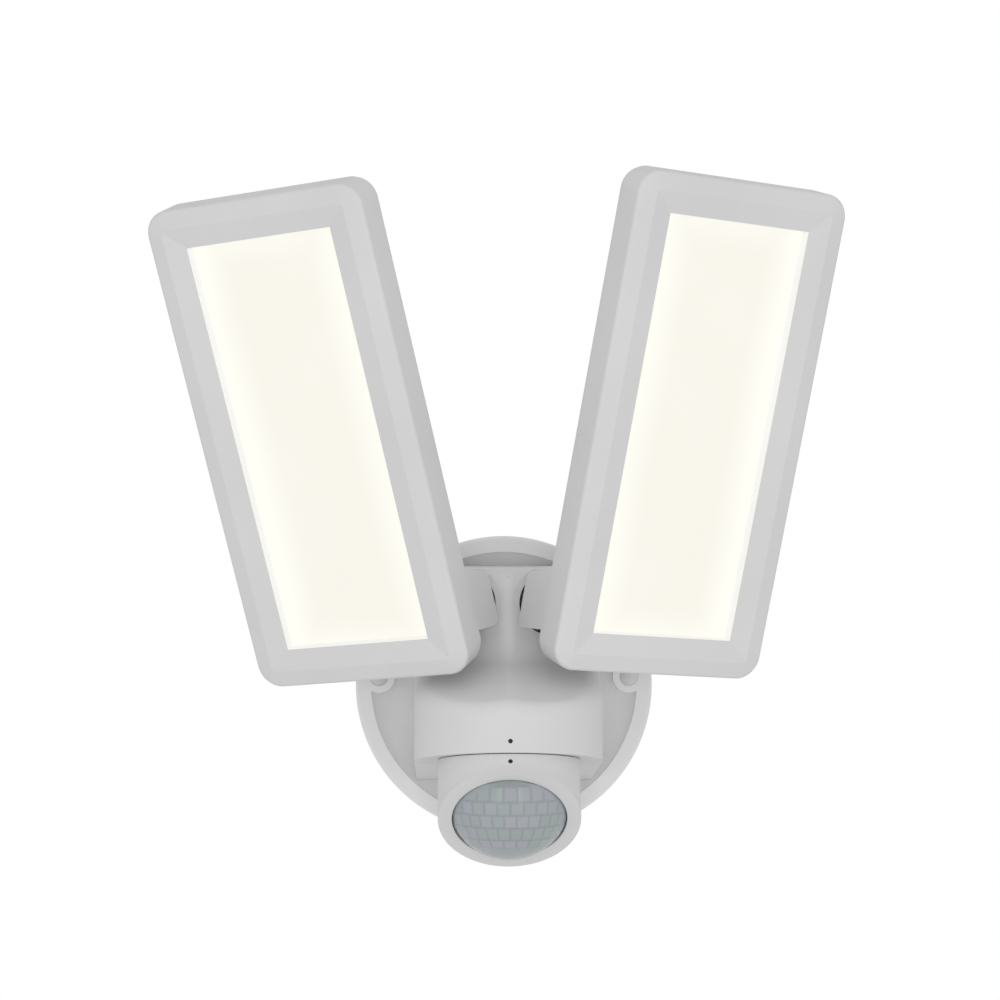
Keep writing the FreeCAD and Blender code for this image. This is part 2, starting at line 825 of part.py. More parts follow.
def make_body_screws():
    """Four screws from the wiring space through the canopy's floor into the posts."""
    pieces = []
    floor = DISH_FLOOR - S.canopy_wall
    for sign in (-1, 1):
        for level, height in (("high", S.body_screw_z), ("low", -S.body_screw_z)):
            x = sign * BODY_SCREW_X.value
            name = "body_screw_%s_%s" % ("right" if sign > 0 else "left", level)
            shank = cylinder(name + "_shank", S.body_screw_radius - S.running_gap,
                             S.body_post_length + S.canopy_wall - 3,
                             PLACE(VEC(x, -floor.value, height.value), OUTWARD_ROT))
            head = cylinder(name + "_head", S.body_screw_radius * 2, S.body_screw_radius,
                            PLACE(VEC(x, S.body_screw_radius.value - floor.value, height.value),
                                  OUTWARD_ROT))
            pieces.append(combine("Fuse", name, shank, head))
    group = doc.addObject("Part::Compound", "body_screws")
    group.Label = "body_screws"
    group.Links = pieces
    return group


# ---------------------------------------------------------------- driver inside the body
DRIVER_WIDTH = (S.body_half_width - S.body_wall - S.driver_play) * 2


def make_driver():
    """The driver board on the four posts, with its parts towards the nose."""
    face = DISH_FLOOR + S.body_post_length
    board = new_body("driver_board")
    plate = sketch_on(board, "XZ", face)
    rectangle(plate, as_size(0), S.driver_centre_z, DRIVER_WIDTH / 2, S.driver_height / 2)
    pad(board, plate, S.board_thickness)
    front = face + S.board_thickness
    blocks = {
        "driver_transformer": (-DRIVER_WIDTH / 4, S.driver_centre_z + S.driver_height / 5,
                               S.transformer_width, S.transformer_height, S.transformer_depth),
        "driver_relay": (DRIVER_WIDTH / 4, S.driver_centre_z + S.driver_height / 5,
                         S.relay_width, S.relay_height, S.relay_depth),
        "terminal_block": (DRIVER_WIDTH / 5, S.driver_centre_z - S.driver_height / 3,
                           S.terminal_width, S.terminal_height, S.terminal_depth),
    }
    made = [board]
    for label, (x, z, width, height, depth) in blocks.items():
        body = new_body(label)
        base = sketch_on(body, "XZ", front)
        rectangle(base, x, z, width / 2, height / 2)
        pad(body, base, depth)
        made.append(body)
    cans = []
    for index, name in enumerate(("first", "second")):
        x = -DRIVER_WIDTH / 3 + S.capacitor_spacing * index
        z = S.driver_centre_z - S.driver_height / 3
        cans.append(cylinder("driver_capacitor_" + name, S.capacitor_radius, S.capacitor_length,
                             PLACE(VEC(x.value, -front.value, z.value), OUTWARD_ROT)))
    group = doc.addObject("Part::Compound", "driver_capacitors")
    group.Label = "driver_capacitors"
    group.Links = cans
    made.append(group)
    return made


# ---------------------------------------------------------------- swivel arms
def make_arm(side, sign, roll):
    body = new_body(side + "_swivel_arm")
    eye = sketch_on(body, "YZ")
    ring(eye, 0, 0, S.eye_radius)
    pad(body, eye, S.eye_width, midplane=True)
    shoulder = S.facet_distance - S.disc_proud
    tail = (S.facet_distance + S.facet_recess + S.body_wall + S.washer_thickness
            + S.nut_thickness + S.stem_tail)
    neck = sketch_on(body, "XY")
    trace(neck, [
        (0, 0), (S.neck_radius, 0), (S.neck_radius, shoulder),
        (S.stem_radius, shoulder), (S.stem_radius, tail), (0, tail)])
    turned(body, neck)
    pin_hole = sketch_on(body, "YZ")
    ring(pin_hole, 0, 0, S.bolt_radius + S.running_gap)
    pocket(body, pin_hole, midplane=True)
    wire_way = sketch_on(body, "XZ", -tail)
    ring(wire_way, 0, 0, S.stem_bore_radius)
    pocket(body, wire_way, tail - S.eye_radius, reverse=True)
    body.Placement = arm_frame(sign, roll)
    return body


def make_swivel_disc(side, sign, roll):
    """The toothed disc that fills the facet's counterbore."""
    body = new_body(side + "_swivel_disc")
    front = S.facet_distance - S.disc_proud
    radius = S.counterbore_radius - S.disc_gap
    base = sketch_on(body, "XZ", -(S.facet_distance + S.facet_recess - S.seat_gap))
    ring(base, 0, 0, radius)
    ring(base, 0, 0, S.stem_radius + S.running_gap)
    pad(body, base, S.facet_recess - S.seat_gap + S.disc_proud)
    notch = sketch_on(body, "XZ", -front)
    rectangle(notch, radius, as_size(0), S.tooth_size, S.tooth_size / 2)
    cut = pocket(body, notch, S.tooth_size)
    teeth = body.newObject("PartDesign::PolarPattern", body.Name + "_teeth")
    teeth.Originals = [cut]
    teeth.Axis = (notch, ["N_Axis"])
    teeth.Angle = 360
    teeth.Occurrences = int(S.disc_teeth.value)
    teeth.setExpression("Occurrences", S.disc_teeth.text)
    body.Tip = teeth
    body.Placement = arm_frame(sign, roll)
    return body


def make_swivel_seal(side, sign):
    """The dark seal between the disc and the wall of the counterbore."""
    body = new_body(side + "_swivel_seal")
    base = sketch_on(body, "XZ", -(S.facet_distance + S.facet_recess))
    ring(base, 0, 0, S.counterbore_radius)
    ring(base, 0, 0, S.counterbore_radius - S.disc_gap + S.running_gap)
    pad(body, base, S.facet_recess - S.seal_recess)
    body.Placement = socket_frame(sign)
    return body


def make_swivel_fasteners(side, sign, roll):
    """The spring washer and the nut behind the facet."""
    wall = S.facet_distance + S.facet_recess + S.body_wall
    washer = new_body(side + "_swivel_washer")
    base = sketch_on(washer, "XZ", -(wall + S.washer_thickness))
    ring(base, 0, 0, S.washer_radius)
    ring(base, 0, 0, S.stem_radius + S.running_gap)
    pad(washer, base, S.washer_thickness - S.seat_gap)
    nut = new_body(side + "_swivel_nut")
    base = sketch_on(nut, "XZ", -(wall + S.washer_thickness + S.nut_thickness))
    hexagon(base, as_size(0), as_size(0), S.nut_flats)
    ring(base, 0, 0, S.stem_radius + S.running_gap)
    pad(nut, base, S.nut_thickness)
    for body in (washer, nut):
        body.Placement = arm_frame(sign, roll)
    return [washer, nut]


# ---------------------------------------------------------------- light heads
HEAD_HALF_WIDTH = S.window_width / 2 + S.bezel_width + S.band_width
HEAD_HALF_HEIGHT = S.window_height / 2 + S.bezel_width + S.band_width
WINDOW_UP = HEAD_HALF_HEIGHT - S.head_drop
FRAME_BACK = S.window_front - S.frame_depth
CREST = S.window_front + S.bezel_rise
BAND_EDGE = CREST - S.band_drop
DIFFUSER_FRONT = S.window_front - S.recess_depth


def head_corners(sign):
    """Places of the four frame screws, from the head's frame; the low pair clears the ears."""
    x = S.window_out * sign
    reach = HEAD_HALF_WIDTH - S.post_inset
    high = WINDOW_UP + HEAD_HALF_HEIGHT - S.post_inset
    low = S.ear_half_height + S.ear_rise + S.frame_screw_head + S.ear_screw_gap
    return [(x + reach * i, z) for i in (-1, 1) for z in (low, high)]


def make_head_front(side, sign):
    """Front frame: side walls, a flat outer band and a bezel that dishes to the window."""
    body = new_body(side + "_head_frame")
    x, z = S.window_out * sign, WINDOW_UP
    wall = S.frame_wall
    outline = sketch_on(body, "XZ", FRAME_BACK)
    rectangle(outline, x, z, HEAD_HALF_WIDTH, HEAD_HALF_HEIGHT, S.head_corner_radius)
    pad(body, outline, BAND_EDGE - FRAME_BACK)
    band_base = sketch_on(body, "XZ", BAND_EDGE)
    rectangle(band_base, x, z, HEAD_HALF_WIDTH, HEAD_HALF_HEIGHT, S.head_corner_radius)
    crest = sketch_on(body, "XZ", CREST)
    rectangle(crest, x, z, S.window_width / 2 + S.bezel_width,
              S.window_height / 2 + S.bezel_width, S.crest_corner_radius)
    loft(body, band_base, crest)
    soften(body, S.head_edge_radius, lambda edge: head_rim(edge))
    dish_top = sketch_on(body, "XZ", CREST)
    rectangle(dish_top, x, z, S.window_width / 2 + S.bezel_width,
              S.window_height / 2 + S.bezel_width)
    lip = sketch_on(body, "XZ", S.window_front)
    rectangle(lip, x, z, S.window_width / 2, S.window_height / 2)
    loft(body, dish_top, lip, "PartDesign::SubtractiveLoft")
    opening = sketch_on(body, "XZ", FRAME_BACK)
    rectangle(opening, x, z, S.window_width / 2, S.window_height / 2)
    pocket(body, opening, reverse=True)
    hollow = sketch_on(body, "XZ", FRAME_BACK)
    rectangle(hollow, x, z, HEAD_HALF_WIDTH - wall, HEAD_HALF_HEIGHT - wall,
              S.head_corner_radius - wall)
    pocket(body, hollow, DIFFUSER_FRONT - FRAME_BACK, reverse=True)
    gutter = sketch_on(body, "XZ", FRAME_BACK)
    rectangle(gutter, x, z, HEAD_HALF_WIDTH - wall, HEAD_HALF_HEIGHT - wall,
              S.head_corner_radius - wall)
    rectangle(gutter, x, z, S.window_width / 2 + S.recess_wall,
              S.window_height / 2 + S.recess_wall)
    pocket(body, gutter, BAND_EDGE - S.frame_skin - FRAME_BACK, reverse=True)
    posts = sketch_on(body, "XZ", FRAME_BACK)
    for post_x, post_z in head_corners(sign):
        ring(posts, post_x, post_z, S.post_radius)
    pad(body, posts, BAND_EDGE - S.frame_skin / 2 - FRAME_BACK)
    pilots = sketch_on(body, "XZ", FRAME_BACK)
    for post_x, post_z in head_corners(sign):
        ring(pilots, post_x, post_z, S.frame_screw_radius)
    pocket(body, pilots, S.frame_screw_length - S.back_plate - S.seal_thickness + 1,
           reverse=True)
    return body


def head_rim(edge):
    """The outer edge between the side walls and the band, at the band's level."""
    return all(abs(vertex.Point.y + BAND_EDGE.value) < 0.01 for vertex in edge.Vertexes)


def make_head_back(side, sign):
    """Rear housing: bevelled plate with cooling fins, and the two ears of the knuckle."""
    body = new_body(side + "_head_housing")
    x, z = S.window_out * sign, WINDOW_UP
    front = FRAME_BACK - S.seal_thickness
    rear = front - S.back_plate
    plate = sketch_on(body, "XZ", rear)
    rectangle(plate, x, z, HEAD_HALF_WIDTH - S.back_inset, HEAD_HALF_HEIGHT - S.back_inset,
              S.head_corner_radius - S.back_inset)
    pad(body, plate, S.back_plate)
    soften(body, S.back_edge,
           lambda edge: all(abs(v.Point.y + rear.value) < 0.01 for v in edge.Vertexes),
           "PartDesign::Chamfer")
    fins = sketch_on(body, "XZ", rear - S.fin_height)
    low = S.ear_half_height + S.ear_rise + (S.frame_screw_head + S.ear_screw_gap) * 2
    high = WINDOW_UP + HEAD_HALF_HEIGHT - S.fin_margin
    for index in range(int(S.fin_count.value)):
        place = x + S.fin_pitch * (index - (S.fin_count.value - 1) / 2)
        rectangle(fins, place, (low + high) / 2, S.fin_thickness / 2, (high - low) / 2)
    pad(body, fins, S.fin_height)
    half = S.eye_width / 2 + S.ear_gap
    for direction in (-1, 1):
        near = half if direction > 0 else -half - S.ear_thickness
        ear = sketch_on(body, "YZ", near)
        tall, back = S.ear_half_height, S.ear_back
        upper, lower = S.ear_top_radius, S.ear_bottom_radius
        trace(ear, [
            (-rear, S.ear_lift - tall),
            (back - lower, -tall),
            (back, lower - tall, back - lower, lower - tall, 1),
            (back, tall - upper),
            (back - upper, tall, back - upper, tall - upper, 1),
            (-rear, tall + S.ear_rise)])
        pad(body, ear, S.ear_thickness)
    bolt_hole = sketch_on(body, "YZ", half * sign)
    ring(bolt_hole, 0, 0, S.bolt_radius + S.running_gap)
    pocket(body, bolt_hole, S.ear_thickness, reverse=sign > 0)
    head_recess = sketch_on(body, "YZ", (half + S.ear_thickness) * sign)
    ring(head_recess, 0, 0, S.bolt_head_radius + S.seat_gap)
    pocket(body, head_recess, S.bolt_recess, reverse=sign < 0)
    nut_recess = sketch_on(body, "YZ", -half * sign)
    hexagon(nut_recess, as_size(0), as_size(0), S.tilt_nut_flats + S.seat_gap)
    pocket(body, nut_recess, S.tilt_nut_thickness + S.seat_gap * 2, reverse=sign < 0)
    screw_holes = sketch_on(body, "XZ", front)
    for hole_x, hole_z in head_corners(sign):
        ring(screw_holes, hole_x, hole_z, S.frame_screw_radius + S.seat_gap)
    pocket(body, screw_holes)
    return body


def make_head_inside(side, sign):
    """Seal, diffuser, LED board and LED chips."""
    x, z = S.window_out * sign, WINDOW_UP
    wall = S.frame_wall
    seal = new_body(side + "_head_seal")
    base = sketch_on(seal, "XZ", FRAME_BACK - S.seal_thickness)
    rectangle(base, x, z, HEAD_HALF_WIDTH - S.back_inset, HEAD_HALF_HEIGHT - S.back_inset,
              S.head_corner_radius - S.back_inset)
    rectangle(base, x, z, HEAD_HALF_WIDTH - wall, HEAD_HALF_HEIGHT - wall,
              S.head_corner_radius - wall)
    pad(seal, base, S.seal_thickness)
    diffuser = new_body(side + "_diffuser")
    base = sketch_on(diffuser, "XZ", DIFFUSER_FRONT - S.diffuser_thickness)
    reach = S.recess_wall + S.diffuser_play
    rectangle(base, x, z, S.window_width / 2 + reach, S.window_height / 2 + reach)
    pad(diffuser, base, S.diffuser_thickness)
    board = new_body(side + "_led_board")
    level = FRAME_BACK - S.seal_thickness
    base = sketch_on(board, "XZ", level)
    rectangle(base, x, z, HEAD_HALF_WIDTH - S.post_inset - S.board_inset,
              HEAD_HALF_HEIGHT - S.post_inset - S.board_inset)
    pad(board, base, S.board_thickness)
    chips = make_chips(side, x, z, level + S.board_thickness)
    return [seal, diffuser, board, chips]


def make_chips(side, x, z, level):
    """Rows of LED chips on the board, as one group."""
    chips = []
    columns, rows = int(S.chip_columns.value), int(S.chip_rows.value)
    half = S.chip_size / 2
    for i in range(columns):
        for k in range(rows):
            corner_x = x + S.window_width * ((i + 0.5) / columns - 0.5) - half
            corner_z = z + S.window_height * ((k + 0.5) / rows - 0.5) - half
            front = -(level + S.chip_height)
            chips.append(box("%s_chip_%d_%d" % (side, i, k), S.chip_size, S.chip_height,
                             S.chip_size, PLACE(VEC(corner_x.value, front.value, corner_z.value),
                                                ROT())))
    group = doc.addObject("Part::Compound", side + "_led_chips")
    group.Label = side + "_led_chips"
    group.Links = chips
    return group


def make_head_fasteners(side, sign):
    """Four frame screws as one group, the tilt bolt and its nut."""
    rear = FRAME_BACK - S.seal_thickness - S.back_plate
    screws = new_body(side + "_frame_screws")
    shanks = sketch_on(screws, "XZ", rear)
    heads = sketch_on(screws, "XZ", rear - S.frame_screw_radius)
    for x, z in head_corners(sign):
        ring(shanks, x, z, S.frame_screw_radius - S.running_gap)
        ring(heads, x, z, S.frame_screw_head)
    pad(screws, shanks, S.frame_screw_length)
    pad(screws, heads, S.frame_screw_radius)
    half = S.eye_width / 2 + S.ear_gap
    nut_side = -(half + S.seat_gap)
    bolt = new_body(side + "_tilt_bolt")
    seat = half + S.ear_thickness - S.bolt_recess
    tip = nut_side - S.tilt_nut_thickness + 0.4
    shank = sketch_on(bolt, "YZ", tip * sign if sign > 0 else seat * sign)
    ring(shank, 0, 0, S.bolt_radius)
    pad(bolt, shank, seat - tip)
    head = sketch_on(bolt, "YZ", seat * sign)
    ring(head, 0, 0, S.bolt_head_radius)
    pad(bolt, head, S.bolt_head_height, reverse=sign < 0)
    socket = sketch_on(bolt, "YZ", (seat + S.bolt_head_height) * sign)
    hexagon(socket, as_size(0), as_size(0), S.bolt_radius * 1.6)
    pocket(bolt, socket, S.bolt_head_height * 0.6, reverse=sign < 0)
    nut = new_body(side + "_tilt_nut")
    base = sketch_on(nut, "YZ", nut_side * sign)
    hexagon(base, as_size(0), as_size(0), S.tilt_nut_flats)
    ring(base, 0, 0, S.bolt_radius + S.running_gap)
    pad(nut, base, S.tilt_nut_thickness, reverse=sign > 0)
    return [screws, bolt, nut]


# ---------------------------------------------------------------- motion sensor
def bend_sketch(body, radius):
    """A circle on the neck's end, to be turned about the inside of the bend."""
    end = sketch_on(body, "XY")
    ring(end, 0, S.sensor_bend_radius, radius)
    return end


def bend_solid(name, radius):
    """The bent round bar of the sensor: bend axis on X, so it is placed one bend back."""
    body = new_body(name)
    end = bend_sketch(body, radius)
    turned(body, end, angle=S.sensor_bend, axis="H_Axis", reverse=True)
    body.Placement = bend_frame()
    return body


def face_disc(name, radius, length, start=0):
    """A disc on the face frame, from start outwards along the face's normal."""
    down = PLACE(VEC(0, 0, -as_size(start).value), ROT(RIGHT, 180))
    return cylinder(name, radius, length, face_frame() * down)


def make_sensor_housing():
    outer = bend_solid("sensor_bend_outer", S.sensor_radius)
    inner = bend_solid("sensor_bend_inner", S.sensor_radius - S.sensor_wall)
    skirt = face_disc("sensor_face_skirt", S.sensor_radius, S.face_length)
    solid = combine("Fuse", "sensor_solid", outer, skirt)
    for name, sign in (("time", -1), ("light", 1)):
        pad_base = knob_frame(sign) * PLACE(VEC(0, 0, -S.sensor_wall.value * 2.5), ROT())
        boss = cylinder(name + "_knob_boss", S.knob_pad_radius,
                        S.sensor_wall * 2.5 + S.knob_pad_proud, pad_base)
        solid = combine("Fuse", "sensor_with_%s_boss" % name, solid, boss)
    # hollow between the neck plate and the face plate
    plate = S.sensor_wall
    neck_stop = cylinder("sensor_neck_stop", S.sensor_radius * 1.5, plate,
                         sensor_frame() * PLACE(VEC(0, 0, -(S.sensor_gap + plate).value), ROT()))
    face_stop = face_disc("sensor_face_stop", S.sensor_radius * 1.5, plate, -plate)
    kept = combine("Cut", "sensor_hollow_below", inner, neck_stop)
    hollow = combine("Cut", "sensor_hollow", kept, face_stop)
    for name, sign in (("time", -1), ("light", 1)):
        pad_base = knob_frame(sign) * PLACE(VEC(0, 0, -S.sensor_wall.value * 2.5), ROT())
        core = cylinder(name + "_knob_core", S.shaft_boss_radius, S.sensor_wall * 4, pad_base)
        hollow = combine("Cut", "sensor_hollow_%s" % name, hollow, core)
    shell = combine("Cut", "sensor_shell", solid, hollow)
    # lens opening with a seat, spigot with a bore, knob wells
    opening = face_disc("lens_opening", S.lens_radius + S.lens_gap, plate + S.face_length + 2,
                        -plate - 1)
    shell = combine("Cut", "sensor_open", shell, opening)
    spigot = cylinder("sensor_spigot", S.spigot_radius, S.spigot_length + S.sensor_gap + plate,
                      sensor_frame() * PLACE(VEC(0, 0, -(S.sensor_gap + plate).value), ROT()))
    shell = combine("Fuse", "sensor_with_spigot", shell, spigot)
    bore = cylinder("sensor_spigot_bore", S.spigot_radius - S.spigot_wall, S.spigot_length * 3,
                    sensor_frame() * PLACE(VEC(0, 0, -S.spigot_length.value * 1.5), ROT()))
    shell = combine("Cut", "sensor_bored", shell, bore)
    for name, sign in (("time", -1), ("light", 1)):
        well_base = PLACE(VEC(0, 0, (S.knob_pad_proud - S.knob_well).value), ROT())
        well = cylinder(name + "_knob_well", S.knob_radius + S.seat_gap * 3, S.knob_well * 2,
                        knob_frame(sign) * well_base)
        shell = combine("Cut", "sensor_%s_well" % name, shell, well)
        shaft_base = PLACE(VEC(0, 0, -S.sensor_wall.value * 4), ROT())
        hole = cylinder(name + "_shaft_hole", S.knob_shaft_radius + S.running_gap,
                        S.sensor_wall * 8, knob_frame(sign) * shaft_base)
        shell = combine("Cut", "sensor_%s_hole" % name, shell, hole)
    pit = cylinder("sensor_mark_pit", S.mark_radius, S.mark_depth * 3, mark_seat_sensor())
    return combine("Cut", "sensor_housing", shell, pit)


def mark_seat_sensor():
    """Frame of the index mark on the front of the bend, Z out of the surface."""
    inner_radius = S.sensor_bend_radius.value - S.sensor_radius.value
    angle = math.degrees(S.sensor_mark_drop.value / inner_radius)
    seat = PLACE(VEC(0, inner_radius + S.mark_depth.value, 0), ROT(RIGHT, 90))
    return bend_frame(angle) * seat


def make_sensor_mark():
    return cylinder("sensor_mark", S.mark_radius, S.mark_depth, mark_seat_sensor())


def make_sensor_lens():
    """Domed lens: a spherical cap on a short skirt, held by a flange behind the face."""
    body = new_body("sensor_lens")
    sphere, wall, radius = S.lens_sphere_radius, S.lens_wall, S.lens_radius
    reach = root(sphere * sphere - radius * radius)
    inside = sphere - wall
    inner_radius = radius - wall
    inner_reach = root(inside * inside - inner_radius * inner_radius)
    base = -S.lens_seat
    plate = S.sensor_wall + S.seat_gap
    profile = sketch_on(body, "XZ")
    trace(profile, [
        (0, -(sphere - reach) + base),
        (radius, base, 0, base + reach, 1),
        (radius, plate),
        (radius + S.lens_flange, plate),
        (radius + S.lens_flange, plate + wall),
        (inner_radius, plate + wall),
        (inner_radius, base),
        (0, base + inner_reach - inside, 0, base + inner_reach, -1)])
    turned(body, profile)
    body.Placement = face_frame()
    return body


def make_sensor_inside():
    """Clip ring, sensor board, detector can and the two trimmers."""
    lift = S.body_wall + S.seat_gap
    clip = new_body("sensor_clip_ring")
    base = sketch_on(clip, "XY", lift)
    ring(base, 0, 0, S.spigot_radius + S.clip_width)
    ring(base, 0, 0, S.spigot_radius + S.running_gap)
    pad(clip, base, S.clip_thickness)
    clip.Placement = sensor_frame()
    board = face_disc("sensor_board", S.sensor_board_radius, S.board_thickness,
                      -S.sensor_board_depth)
    detector = face_disc("pir_detector", S.detector_radius, S.detector_height,
                         -S.sensor_board_depth + S.board_thickness)
    trimmers = []
    for name, sign in (("time", -1), ("light", 1)):
        half = S.trimmer_size.value / 2
        seat = PLACE(VEC(-half, -half, -(S.sensor_wall * 2.5 + S.trimmer_height).value), ROT())
        block = box(name + "_trimmer_block", S.trimmer_size, S.trimmer_size, S.trimmer_height,
                    knob_frame(sign) * seat)
        bore = cylinder(name + "_trimmer_bore", S.knob_shaft_radius + S.running_gap,
                        S.trimmer_height * 2,
                        knob_frame(sign) * PLACE(VEC(0, 0, -S.sensor_wall.value * 2.5
                                                     - S.trimmer_height.value / 2), ROT()))
        trimmers.append(combine("Cut", name + "_trimmer", block, bore))
    group = doc.addObject("Part::Compound", "sensor_trimmers")
    group.Label = "sensor_trimmers"
    group.Links = trimmers
    return [clip, board, detector, group]


def make_knob(name, sign):
    """A setting knob with a screwdriver slot and its shaft."""
    body = new_body(name + "_knob")
    floor = S.knob_pad_proud - S.knob_well + S.seat_gap
    base = sketch_on(body, "XY", floor)
    ring(base, 0, 0, S.knob_radius)
    pad(body, base, S.knob_height)
    soften(body, S.knob_slot_width / 2,
           lambda edge: all(abs(v.Point.z - (floor + S.knob_height).value) < 0.01
                            for v in edge.Vertexes), "PartDesign::Chamfer")
    shaft = sketch_on(body, "XY", floor)
    ring(shaft, 0, 0, S.knob_shaft_radius)
    pad(body, shaft, floor + S.sensor_wall * 2.5 + S.trimmer_height / 3, reverse=True)
    slot = sketch_on(body, "XY", floor + S.knob_height)
    rectangle(slot, as_size(0), as_size(0), S.knob_slot_width / 2, S.knob_radius * 0.7)
    pocket(body, slot, S.knob_slot_depth)
    body.Placement = knob_frame(sign)
    return body


# ---------------------------------------------------------------- build, check and write
def build_all():
    parts = [make_canopy(), make_wall_gasket(), make_mounting_strap(), make_canopy_screws(),
             make_screw_caps(), make_body_housing(), make_body_mark(), make_body_screws()]
    parts += make_driver()
    for side, sign, roll, tilt in SIDES:
        parts += [make_arm(side, sign, roll), make_swivel_disc(side, sign, roll),
                  make_swivel_seal(side, sign)]
        parts += make_swivel_fasteners(side, sign, roll)
        head = [make_head_front(side, sign), make_head_back(side, sign)]
        head += make_head_inside(side, sign)
        head += make_head_fasteners(side, sign)
        for body in head:
            body.Placement = head_frame(sign, roll, tilt)
        parts += head
    parts += [make_sensor_housing(), make_sensor_mark(), make_sensor_lens()]
    parts += make_sensor_inside()
    parts += [make_knob("time", -1), make_knob("light", 1)]
    return parts


def check_and_write(parts):
    doc.recompute()
    for item in doc.Objects:
        if "Invalid" in item.State or "Error" in item.State:
            raise RuntimeError("failed object: " + item.Label)
    for part in parts:
        shape = part.Shape
        if shape.isNull() or not shape.isValid() or not shape.Solids:
            raise RuntimeError("bad shape: " + part.Label)
    os.makedirs("parts", exist_ok=True)
    for part in parts:
        part.Shape.exportStep("parts/%s.step" % part.Label)
    return len(parts)


print("sub-parts written:", check_and_write(build_all()))
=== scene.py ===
"""Looks of the twin-head motion sensor security light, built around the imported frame.

Lengths are in metres in the frame's own axes: +Z up, +X right for someone facing the wall, and
-Y out of the wall.
"""
import json
import math
import random

import bmesh
import bpy
from mathutils import Matrix, Vector


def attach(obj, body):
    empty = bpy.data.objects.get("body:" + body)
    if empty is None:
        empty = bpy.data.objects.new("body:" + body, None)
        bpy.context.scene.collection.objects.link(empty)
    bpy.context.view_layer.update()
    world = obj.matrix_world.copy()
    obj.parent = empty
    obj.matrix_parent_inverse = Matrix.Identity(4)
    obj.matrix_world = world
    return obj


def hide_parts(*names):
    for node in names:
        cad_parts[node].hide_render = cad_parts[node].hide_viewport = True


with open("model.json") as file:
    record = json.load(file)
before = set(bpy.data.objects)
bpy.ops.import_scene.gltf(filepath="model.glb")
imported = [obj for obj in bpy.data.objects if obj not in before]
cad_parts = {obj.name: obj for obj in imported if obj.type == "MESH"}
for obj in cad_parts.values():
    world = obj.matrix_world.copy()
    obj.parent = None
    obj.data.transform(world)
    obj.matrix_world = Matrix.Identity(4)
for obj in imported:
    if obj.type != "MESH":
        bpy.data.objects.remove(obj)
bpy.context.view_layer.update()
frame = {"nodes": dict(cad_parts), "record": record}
MM = 0.001

# ---------------------------------------------------------------- camera
CAMERA_PLACE = Vector((-24.0, -1220.4, 73.6)) * MM
CAMERA_YAW = 1.064
CAMERA_PITCH = 0.263
CAMERA_RANGE = (0.05, 20.0)
FOCAL_LENGTH = 100.8
SENSOR_WIDTH = 36.0


def make_camera():
    """The photograph's view, with yaw and pitch in degrees."""
    data = bpy.data.cameras.new("camera")
    data.lens = FOCAL_LENGTH
    data.sensor_width = SENSOR_WIDTH
    data.sensor_fit = "HORIZONTAL"
    data.clip_start, data.clip_end = CAMERA_RANGE
    camera = bpy.data.objects.new("camera", data)
    bpy.context.scene.collection.objects.link(camera)
    camera.location = CAMERA_PLACE
    camera.rotation_euler = (math.radians(90 + CAMERA_PITCH), 0, math.radians(-CAMERA_YAW))
    bpy.context.scene.camera = camera


# ---------------------------------------------------------------- light and surroundings
AMBIENT = 0.715
LAMP_DISTANCE = 1.6
# name: azimuth from the front in degrees, height above the target, size, watts, seen in gloss
LAMPS = {
    "softbox_left": (-21.0, 0.05, (0.14, 1.3), 0.9, True),
    "softbox_right": (21.0, 0.05, (0.14, 1.3), 0.9, True),
    "front_fill": (-1.0, 0.02, (0.3, 0.3), 4.6, False),
    "top_fill": (0.0, 0.7, (0.6, 0.6), 1.2, False),
}
TARGET = Vector((0.0, -0.1, 0.06))
FLOOR_PLACE = (0, -0.08, -0.30)
FLOOR_RADIUS = 0.55
FLOOR_SIDES = 96
FLOOR_WHITE = (0.92, 0.92, 0.92)
FLOOR_ROUGHNESS = 0.9


def make_world():
    """White where it is seen, and a softer white where it lights the object."""
    world = bpy.data.worlds.new("studio")
    bpy.context.scene.world = world
    world.use_nodes = True
    tree = world.node_tree
    background = tree.nodes["Background"]
    background.inputs["Color"].default_value = (1, 1, 1, 1)
    path = tree.nodes.new("ShaderNodeLightPath")
    seen = add_math(tree, "MAXIMUM", path.outputs["Is Camera Ray"],
                    path.outputs["Is Transmission Ray"])
    strength = tree.nodes.new("ShaderNodeMapRange")
    strength.inputs["To Min"].default_value = AMBIENT
    strength.inputs["To Max"].default_value = 1.0
    tree.links.new(seen, strength.inputs["Value"])
    tree.links.new(strength.outputs["Result"], background.inputs["Strength"])


def make_lamp(name, azimuth, height, size, power, glossy):
    """A rectangular soft lamp that faces the target."""
    data = bpy.data.lights.new(name, "AREA")
    data.shape = "RECTANGLE"
    data.size, data.size_y = size
    data.energy = power
    light = bpy.data.objects.new(name, data)
    bpy.context.scene.collection.objects.link(light)
    light.visible_glossy = glossy
    angle = math.radians(azimuth)
    light.location = TARGET + Vector((math.sin(angle) * LAMP_DISTANCE,
                                      -math.cos(angle) * LAMP_DISTANCE, height))
    direction = TARGET - light.location
    light.rotation_euler = direction.to_track_quat("-Z", "Y").to_euler()


def make_floor():
    """A pale round floor well below the wall light, which keeps its soft shadow."""
    mesh = bpy.data.meshes.new("studio_floor")
    build = bmesh.new()
    bmesh.ops.create_circle(build, cap_ends=True, segments=FLOOR_SIDES, radius=FLOOR_RADIUS)
    build.to_mesh(mesh)
    build.free()
    floor = bpy.data.objects.new("studio_floor", mesh)
    floor.location = FLOOR_PLACE
    bpy.context.scene.collection.objects.link(floor)
    mesh.materials.append(new_material("studio_floor", FLOOR_WHITE, FLOOR_ROUGHNESS)[0])


